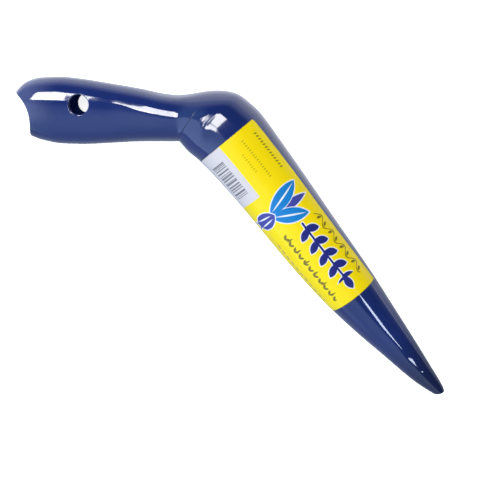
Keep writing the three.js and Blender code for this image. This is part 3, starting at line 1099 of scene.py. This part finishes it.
def print_panel(art, colour):
    """A pale panel with plain bars."""
    colour = art.ink(colour, art.bed(*PANEL), PAPER_WHITE)
    bars = 0.0
    for pitch, middle, half in BARS:
        off = art.apart(art.repeated(BARS_START, pitch), middle)
        bar = art.ramp(off, half - BAR_BLUR, half + BAR_BLUR, start=BAR_SHARE, end=0)
        bars = art.larger(bars, bar)
    return art.ink(colour, art.bed(*BARS_ROOM), BAR_GREY, room=bars)


def print_bulb(art, colour):
    """A sprouting bulb: two broad leaves and a spear over it, and two roots beneath."""
    leaves, spear = art.leaves(BULB_LEAVES), art.leaves(BULB_SPEAR)
    bulb = art.leaves(BULB_BODY + BULB_ROOTS)
    layers = (
        (art.joined(leaves, spear), PRINT_WHITE, PLANT_HALO),
        (spear, INK_PURPLE, 0.0),
        (leaves, PRINT_WHITE, LEAF_HALO),
        (leaves, INK_BLUE, 0.0),
        (art.leaves(LEAF_VEINS), PRINT_WHITE, 0.0),
        (bulb, PRINT_WHITE, BULB_HALO),
        (bulb, INK_PURPLE, 0.0),
        (art.leaves(BULB_SCALES), PRINT_WHITE, 0.0),
    )
    for shape, ink_colour, grow in layers:
        colour = art.ink(colour, shape, ink_colour, grow=grow)
    return colour


def print_sprig(art, colour):
    """A sprig of broad leaves in dark ink, with a leaf at its end."""
    pairs = art.leaves(SPRIG_LEAVES, along=art.repeated(SPRIG_START, SPRIG_PITCH))
    room = art.within(SPRIG_START, SPRIG_START + SPRIG_PAIRS * SPRIG_PITCH)
    stem = art.joined(art.bed(*SPRIG_STEM), art.leaves(SPRIG_END_LEAF))
    for ink_colour, grow in ((PRINT_WHITE, SPRIG_HALO), (INK_NAVY, 0.0)):
        colour = art.ink(colour, stem, ink_colour, grow=grow)
        colour = art.ink(colour, pairs, ink_colour, room=room, grow=grow)
    return colour


def print_sprouts(art, colour):
    """A row of young sprouts, with a border of dashes beneath it."""
    sprouts = art.joined(
        art.leaves(SPROUTS, along=art.repeated(SPROUTS_START, SPROUT_PITCH)),
        art.leaves(SHOOTS, along=art.repeated(SPROUTS_START, SHOOT_PITCH)),
    )
    room = art.within(SPROUTS_START, SPROUTS_END)
    colour = art.ink(colour, sprouts, INK_OLIVE, room=room, share=FINE_INK_SHARE)
    dashes = art.bed(*DASH, along=art.repeated(DASHES_START, DASH_PITCH))
    room = art.within(DASHES_START, DASHES_END)
    return art.ink(colour, dashes, INK_NAVY, room=room, share=DASH_SHARE)


def print_vine(art, colour):
    """A vine that winds above the sprig."""
    wave = art.math("SINE", art.times(art.along, 2 * math.pi / VINE_PITCH))
    line = art.plus(art.times(wave, VINE_SWING), VINE_LEVEL)
    room = art.within(VINE_START, VINE_END)
    stem = art.ramp(art.apart(art.across, line), *VINE_EDGE, start=FINE_INK_SHARE, end=0)
    colour = art.mix(art.times(stem, room), colour, INK_OLIVE)
    leaves = art.leaves(VINE_LEAVES, along=art.repeated(VINE_LEAVES_START, VINE_PITCH))
    return art.ink(colour, leaves, INK_OLIVE, room=room, share=FINE_INK_SHARE)


def print_drills(art, colour):
    """Seeds in three drills beside the panel."""
    for start, end, pitch, seed, share in DRILLS:
        seeds = art.leaves([seed], along=art.repeated(start, pitch))
        colour = art.ink(colour, seeds, INK_OLIVE, room=art.within(start, end), share=share)
    return colour


def painted_edge_shadow(art, where, colour):
    """A painted shadow along the film's cut edge."""
    edge = art.bed(LABEL_LENGTH / 2, LABEL_WIDTH / 2, LABEL_LENGTH, LABEL_WIDTH, LABEL_CORNER)
    patchy = art.ramp(art.noise(where, scale=210, detail=3, roughness=0.6), 0.3, 0.6, 0.35, 0.9)
    return art.mix(art.times(art.ramp(edge, *EDGE_SHADOW_BAND), patchy), colour, EDGE_SHADOW_COLOUR)


def label_film():
    """A glossy printed film: a yellow ground, a pale panel with bars, and plain garden motifs."""
    material, tree, shader = shader_tree("printed_film")
    art = LabelPrint(tree)
    where = art.object_place()
    colour = print_ground(art, where)
    for motif in (print_panel, print_bulb, print_sprig, print_sprouts, print_vine, print_drills):
        colour = motif(art, colour)
    # The colour ends with a painted shadow along the film's cut edge
    art.plug(painted_edge_shadow(art, where, colour), shader.inputs["Base Color"])
    scuffed = art.noise(where, scale=160, detail=4, roughness=0.7)
    scuffs = art.ramp(scuffed, 0.55, 0.85, end=SCUFF_ROUGHNESS)
    art.plug(art.plus(scuffs, FILM_ROUGHNESS), shader.inputs["Roughness"])
    shader.inputs["IOR"].default_value = FILM_IOR
    creases = art.noise(where, scale=45, distortion=0.6)
    height = art.math("MULTIPLY_ADD", creases, CREASE_HEIGHT, art.noise(where, scale=700))
    art.plug(art.bump(height, FILM_BUMP, FILM_RELIEF * MM), shader.inputs["Normal"])
    return material


label_print = label_film()


# Pieces of steel

def groove_round(columns):
    """The joint's open groove: deep at the inner corner, closed again over the shoulder."""
    around = np.linspace(0, 1, columns + 1)
    over = np.minimum(around, 1 - around) * 2
    return JOINT_ROUND * (1 - ease(over, *GROOVE_CLOSES)) + CLOSED_GROOVE


def painted_piece(name, node, rows, with_hole=False):
    laid = lay_on(rows)
    if with_hole:
        open_hole(rows, *laid)
    close_shell(laid[0])
    finish_piece(to_object(laid[0], name, tube_paint), node)


def make_grip():
    rows = tube_rows(
        GRIP_COLUMNS, mouth_cut, elbow_grip_side, GRIP_STOPS, GRIP_STOPS,
        RIM_ROUND, groove_round(GRIP_COLUMNS),
    )
    painted_piece("painted_grip", "grip_tube", rows, with_hole=True)


def make_elbow_weld():
    rows = tube_rows(
        SHANK_COLUMNS, elbow_grip_side, elbow_shank_side, ELBOW_WELD_STOPS, ELBOW_WELD_STOPS,
        groove_round(SHANK_COLUMNS),
    )
    painted_piece("elbow_weld_bead", "elbow_weld", rows)


def make_shank():
    rows = tube_rows(
        SHANK_COLUMNS, elbow_shank_side, point_shank_side, SHANK_STOPS, SHANK_INSIDE_STOPS
    )
    painted_piece("painted_shank", "shank_cone", rows)


def make_point_weld():
    rows = tube_rows(
        POINT_COLUMNS, point_shank_side, point_tip_side, POINT_WELD_STOPS, POINT_WELD_STOPS
    )
    painted_piece("point_weld_bead", "point_weld", rows)


def make_point():
    """The solid point: its spigot, its shoulder, its skin and its blunt tip."""
    rows = Rows(POINT_COLUMNS)
    joint = ELBOW_RUN + SHANK_LENGTH - POINT_LENGTH + POINT_WELD_WIDTH / 2
    radius = float(section(np.array(joint))["half"]) - WALL - SPIGOT_CLEARANCE
    back = joint - SPIGOT_LENGTH
    spigot = (
        (back, SPIGOT_CHAMFER),
        (back, radius - SPIGOT_CHAMFER),
        (back + SPIGOT_CHAMFER, radius),
        (joint, radius),
    )
    for station, reach in spigot:
        rows.add(station, reach - float(section(np.array(station))["half"]))
    rows.add(rows.beyond(point_tip_side, 0.0, 0.0), 0.0)
    rows.face(point_tip_side, tip_cut, 0.0, POINT_STOPS, 0.0, TIP_ROUND)
    for turn in np.linspace(0, math.pi / 2, TIP_STEPS + 1):
        depth, inset = TIP_ROUND * (1 - math.cos(turn)), TIP_ROUND * (1 - math.sin(turn))
        rows.add(rows.beyond(tip_cut, -inset, -depth), -depth, 1.0)
    rows.add(rows.beyond(tip_cut, 0, -TIP_FACE_DEPTH), -TIP_FACE_DEPTH, 1.0)
    painted_piece("forged_point", "steel_point", rows)


make_grip()
make_elbow_weld()
make_shank()
make_point_weld()
make_point()


# Sheets that lie on the skin: the ground seams and the label

def face_outwards(body, corners, outward):
    """Turns a sheet over if its faces point inwards. Outward has the way out at every corner."""
    body.normal_update()
    body.faces.ensure_lookup_table()
    face = body.faces[len(body.faces) // 2]
    if face.normal.dot(Vector(outward[corners.index(face.verts[0])])) < 0:
        bmesh.ops.reverse_faces(body, faces=body.faces)


def laid_sheet(station, across, lift):
    """A sheet on the skin. Station and across are arrays of rows by columns: where each corner
    lies along the tool, and how far from the middle of the upper side, round the girth."""
    body, corners, row, column = numbered_grid(station.shape[0] - 1, station.shape[1] - 1)
    around = np.mod(UPPER_MIDDLE + across / girth(station), 1)
    points = marked_skin(station, around, lift)
    above = marked_skin(station, around, lift + 1)
    for corner, r, c in zip(corners, row, column):
        corner.co = points[r, c]
    face_outwards(body, corners, (above - points)[row, column])
    return body, corners, row, column


def walled(body, name, material, thickness):
    """A sheet with its thickness, inwards from its face."""
    piece = to_object(body, name, material)
    wall = piece.modifiers.new("thickness", "SOLIDIFY")
    wall.thickness = thickness * MM
    wall.offset = -1
    return piece


def make_seam(name, node, start, end, row_count, crown):
    """A seam weld along the inner side of the bend, ground almost flush."""
    share = np.linspace(-1, 1, SEAM_COLUMNS + 1)
    inner_side = np.array([0.0])
    low = station_at(start, SEAM_INSET, inner_side, 0.0)[0]
    high = station_at(end, -SEAM_INSET, inner_side, 0.0)[0]
    lines = np.linspace(low, high, row_count + 1)[:, None]
    station = np.broadcast_to(lines, (row_count + 1, SEAM_COLUMNS + 1))
    across = share * SEAM_WIDTH / 2 - girth(station) * UPPER_MIDDLE
    ripple = RIPPLE_SHARE * np.sin(station * RIPPLE_TURN + RIPPLE_BOW * share**2)
    ripple = ripple + SLOW_RIPPLE_SHARE * np.sin(station * SLOW_RIPPLE_TURN)
    lift = crown * (1 - share**2) * (1 + ripple) - SEAM_SINK
    body = laid_sheet(station, across, lift)[0]
    finish_piece(walled(body, name, seam_paint, SEAM_THICKNESS), node)


def close_at_ends(length, count):
    """Places from 0 to a length, closer together over the rounded corners at both ends."""
    fine = np.linspace(0, LABEL_CORNER, LABEL_CORNER_CELLS + 1)
    between = np.linspace(LABEL_CORNER, length - LABEL_CORNER, count)[1:-1]
    return np.concatenate([fine, between, length - fine[::-1]])


def rounded_corners(x, y):
    """Draws in the four corners of the flat label."""
    for at_end, at_side in ((0, 0), (0, 1), (1, 0), (1, 1)):
        end_way, side_way = 2 * at_end - 1, 2 * at_side - 1
        a = (x - at_end * LABEL_LENGTH) * end_way + LABEL_CORNER
        b = (y - at_side * LABEL_WIDTH) * side_way + LABEL_CORNER
        squeeze = np.maximum(a, b) / np.maximum(np.hypot(a, b), SEAM_REACH)
        squeeze = np.where((a > 0) & (b > 0), squeeze, 1)
        x = x + end_way * a * (squeeze - 1)
        y = y + side_way * b * (squeeze - 1)
    return x, y


def make_label():
    """The label, with the flat label as its map."""
    along = close_at_ends(LABEL_LENGTH, LABEL_ROWS)
    across = close_at_ends(LABEL_WIDTH, LABEL_COLUMNS)
    x, y = rounded_corners(*np.meshgrid(along, across, indexing="ij"))
    station = ELBOW_RUN + LABEL_FROM_CORNER + x
    from_middle = y - LABEL_WIDTH + LABEL_OUTER_EDGE
    body, corners, row, column = laid_sheet(station, from_middle, LABEL_LIFT)
    print_map = body.loops.layers.uv.new("print_map")
    for corner, u, v in zip(corners, x[row, column], y[row, column]):
        for loop in corner.link_loops:
            loop[print_map].uv = (u / PRINT_SCALE, v / PRINT_SCALE)
    finish_piece(walled(body, "printed_label", label_print, LABEL_FILM), "label")


make_seam("grip_seam_bead", "grip_seam_weld", mouth_cut, elbow_grip_side, GRIP_SEAM_ROWS, SEAM_CROWN)
make_seam(
    "shank_seam_bead", "shank_seam_weld", elbow_shank_side, point_shank_side, SHANK_SEAM_ROWS,
    SEAM_CROWN / 3,
)
make_label()


# The table and the studio air. The air's ways are directions of the row frame, and its bands say
# between which two shares of such a way, or of the height or the left, a glow comes in.

TABLE_REACH = 4.0
TABLE_GLOW = 0.8
TABLE_ROUGHNESS = 0.9
TABLE_WHITE = (0.85, 0.85, 0.85, 1)
# Colours the table shows only in reflections: a pale painted reflection beyond the tool, and painted
# shade on the near side
TABLE_FAR_PAINTED_REFLECTION = (0.86, 0.87, 0.95, 1)
TABLE_NEAR_PAINTED_SHADE = (0.26, 0.3, 0.37, 1)
GRIP_LINE_HEIGHT = 18.0
SHANK_LINE_START = (13.0, 11.0)
LINE_BLUR = 0.008
NEAR_FADE = (-0.13, -0.01)
NEAR_SHARE = 0.1
WHITE = (1, 1, 1, 1)
AIR_DIM = (0.02, 0.035, 0.05, 1)
AIR_LEFT = (0.2, 0.34, 0.45, 1)
FAR_WAY = (0.2, 0.98, 0.0)
NEAR_WAY = (-0.62, -0.78, 0.0)
HORIZON_GLOW = (0.56, 0.62, 0.86, 1)
SCREEN_HIGH = (0.42, 0.56, 0.72, 1)
SCREEN_LOW = (0.26, 0.33, 0.42, 1)
SCREEN_LEFT = (0.8, 1.05, 1.45, 1)
LEFT_BAND = (0.25, 0.6)
HORIZON_BAND = (0.5, 0.08)
FAR_BAND = (0.3, 0.85)
NEAR_BAND = (0.23, 0.38)
SCREEN_BAND = (0.1, 0.9)
SCREEN_LEFT_BAND = (0.3, 0.65)


def seen_straight(rays):
    """Rays that reach the background from the camera, or on through something clear."""
    return rays["Is Camera Ray"], rays["Is Transmission Ray"]


def past_line(w, start, turn):
    """How far a place on the table lies past a line from a point of the tool's plane, in metres."""
    line = turned((math.cos(turn), -math.sin(turn), 0))
    across = Vector((-line.y, line.x, 0)).normalized()
    return w.minus(w.reach(w.object_place(), across), across.dot(spot(*start, 0)))


def make_table():
    """A white table. Its colour in the paint's reflections is painted: pale beyond the tool, and dark
    with painted shade on the near side.
    """
    material, tree, shader = shader_tree("white_table")
    w = Wiring(tree)
    past_grip = past_line(w, (0, GRIP_LINE_HEIGHT), 0)
    past_shank = past_line(w, SHANK_LINE_START, BEND)
    far_side = w.ramp(w.larger(past_grip, past_shank), -LINE_BLUR, LINE_BLUR)
    fading = w.ramp(past_grip, *NEAR_FADE, start=NEAR_SHARE)
    # The painted reflection and painted shade, seen only by rays that the paint mirrors
    painted_reflection = w.mix(w.times(far_side, fading), TABLE_NEAR_PAINTED_SHADE, TABLE_FAR_PAINTED_REFLECTION)
    rays = w.node("ShaderNodeLightPath").outputs
    w.plug(w.mix(rays["Is Glossy Ray"], TABLE_WHITE, painted_reflection), shader.inputs["Base Color"])
    shader.inputs["Roughness"].default_value = TABLE_ROUGHNESS
    shader.inputs["Specular IOR Level"].default_value = 0
    shader.inputs["Emission Color"].default_value = WHITE
    glow = w.times(w.larger(*seen_straight(rays)), TABLE_GLOW)
    w.plug(glow, shader.inputs["Emission Strength"])
    body = bmesh.new()
    bmesh.ops.create_grid(body, x_segments=1, y_segments=1, size=TABLE_REACH)
    mesh_object(body, "table_top", material)


def make_air():
    """A dim studio with a great pale screen on the near side and a pale horizon on the far side."""
    world = bpy.data.worlds.new("studio_air")
    bpy.context.scene.world = world
    world.use_nodes = True
    w = Wiring(world.node_tree)
    direction = w.node("ShaderNodeTexCoord").outputs["Generated"]
    height = w.reach(direction, (0, 0, 1))
    left = w.reach(direction, (-1, 0, 0))
    towards_far = w.reach(direction, Vector(FAR_WAY).normalized())
    towards_near = w.reach(direction, Vector(NEAR_WAY).normalized())
    air = w.mix(w.ramp(left, *LEFT_BAND), AIR_DIM, AIR_LEFT)
    far_glow = w.times(w.ramp(height, *HORIZON_BAND), w.ramp(towards_far, *FAR_BAND))
    light = w.mix(far_glow, air, HORIZON_GLOW)
    screen = w.mix(w.ramp(height, *SCREEN_BAND), SCREEN_LOW, SCREEN_HIGH)
    screen = w.mix(w.ramp(left, *SCREEN_LEFT_BAND), screen, SCREEN_LEFT)
    light = w.mix(w.ramp(towards_near, *NEAR_BAND), light, screen)
    seen = w.larger(*seen_straight(w.node("ShaderNodeLightPath").outputs))
    background = world.node_tree.nodes["Background"]
    w.plug(w.mix(seen, light, WHITE), background.inputs["Color"])
    background.inputs["Strength"].default_value = 1


# The lamps. Each is its name, the place on the tool where its highlight lies, the way that the paint
# there mirrors it (degrees to the right of straight up, and beyond it), its turn and its size in
# degrees, its distance in metres, its radiance and its colour.

RADIANCE = 11.0
LAMP_WHITE = (1.0, 1.0, 1.0)
LAMP_BLUE = (0.68, 0.78, 0.96)
LAMP_WARM = (1.0, 0.84, 0.62)
LAMPS = (
    ("grip_lamp", (-64, 20, 13), (-18.8, 14), 88, (22, 5.8), 0.7, RADIANCE, LAMP_WHITE),
    ("neck_lamp", (-20, 17, 14), (-18.95, 16.8), 86, (26, 5.2), 4.0, RADIANCE, LAMP_WHITE),
    ("elbow_lamp", (18, 15, 18), (1.3, 12.8), 50, (37.5, 8.5), 4.0, RADIANCE, LAMP_WHITE),
    ("weld_lamp", (16, 9, 20), (-12.6, -8.2), 55, (10, 4), 4.0, RADIANCE, LAMP_WHITE),
    ("shank_lamp", (110, -110, 14), (25.5, -18), 68, (15.4, 4), 4.0, RADIANCE, LAMP_BLUE),
)
FILL_LAMP = ("fill_lamp", (40, -20, 16), (-10, -5), 0, (60, 60), 4.0, 0.8, LAMP_WARM)


def sky_way(across, up):
    """The direction that lies some degrees to the right of straight up and some degrees beyond it."""
    tilt = math.radians(math.hypot(across, up))
    turn = math.atan2(up, across)
    return Vector((math.sin(tilt) * math.cos(turn), math.sin(tilt) * math.sin(turn), math.cos(tilt)))


def make_lamp(name, seen_at, facing, turn, size, away, radiance, colour):
    """A flat lamp, unseen by the camera."""
    direction = sky_way(*facing)
    lamp = bpy.data.lights.new(name, "AREA")
    lamp.shape = "RECTANGLE"
    lamp.size, lamp.size_y = [2 * away * math.tan(math.radians(side / 2)) for side in size]
    lamp.energy = radiance * lamp.size * lamp.size_y * math.pi
    lamp.color = colour
    held = in_scene(name, lamp)
    long_way = Vector((math.cos(math.radians(turn)), math.sin(math.radians(turn)), 0))
    long_way = (long_way - direction * long_way.dot(direction)).normalized()
    axes = Matrix((long_way, direction.cross(long_way), direction)).transposed()
    held.matrix_world = Matrix.Translation(spot(*seen_at) + direction * away) @ axes.to_4x4()
    held.visible_camera = False
    return held


# The camera: the photograph's lens and where the tool's inner corner shows in it, in pixels, how far
# ahead of it the tool's plane lies, and the way out of that plane as the lens sees it.

PHOTO_PIXELS = 480.0
FOCAL_PIXELS = 1071.0
CORNER_PIXEL = (179.0, 141.0)
PLANE_DISTANCE = 605.0
PLANE_WAY = (0.068, -0.170, 1.0)
SENSOR_WIDTH = 36.0
CLIP_NEAR, CLIP_FAR = 0.05, 20.0


def make_camera():
    """The photograph's view of the tool."""
    up = -Vector(PLANE_WAY).normalized()
    along = (Vector((1, 0, 0)) - up.x * up).normalized()
    away = up.cross(along)
    ray = Vector([(pixel - PHOTO_PIXELS / 2) / FOCAL_PIXELS for pixel in CORNER_PIXEL] + [1])
    middle = Vector((0, 0, PLANE_DISTANCE))
    offset = ray * (middle.dot(up) / ray.dot(up)) - middle
    eye = [(-middle - offset).dot(way) for way in (along, away, up)]
    right, down, ahead = [Vector(axis) for axis in zip(along, away, up)]
    lens = bpy.data.cameras.new("photo_view")
    lens.sensor_width = SENSOR_WIDTH
    lens.lens = FOCAL_PIXELS / PHOTO_PIXELS * SENSOR_WIDTH
    lens.clip_start, lens.clip_end = CLIP_NEAR, CLIP_FAR
    camera = in_scene("photo_view", lens)
    axes = [turned(axis) for axis in (right, -down, -ahead)]
    camera.matrix_world = Matrix.Translation(spot(*eye)) @ Matrix(axes).transposed().to_4x4()
    bpy.context.scene.camera = camera


make_table()
make_air()
for lamp_row in LAMPS:
    make_lamp(*lamp_row)
fill_lamp = make_lamp(*FILL_LAMP)
fill_lamp.visible_glossy = False
make_camera()

bpy.context.scene.view_settings.view_transform = "Standard"
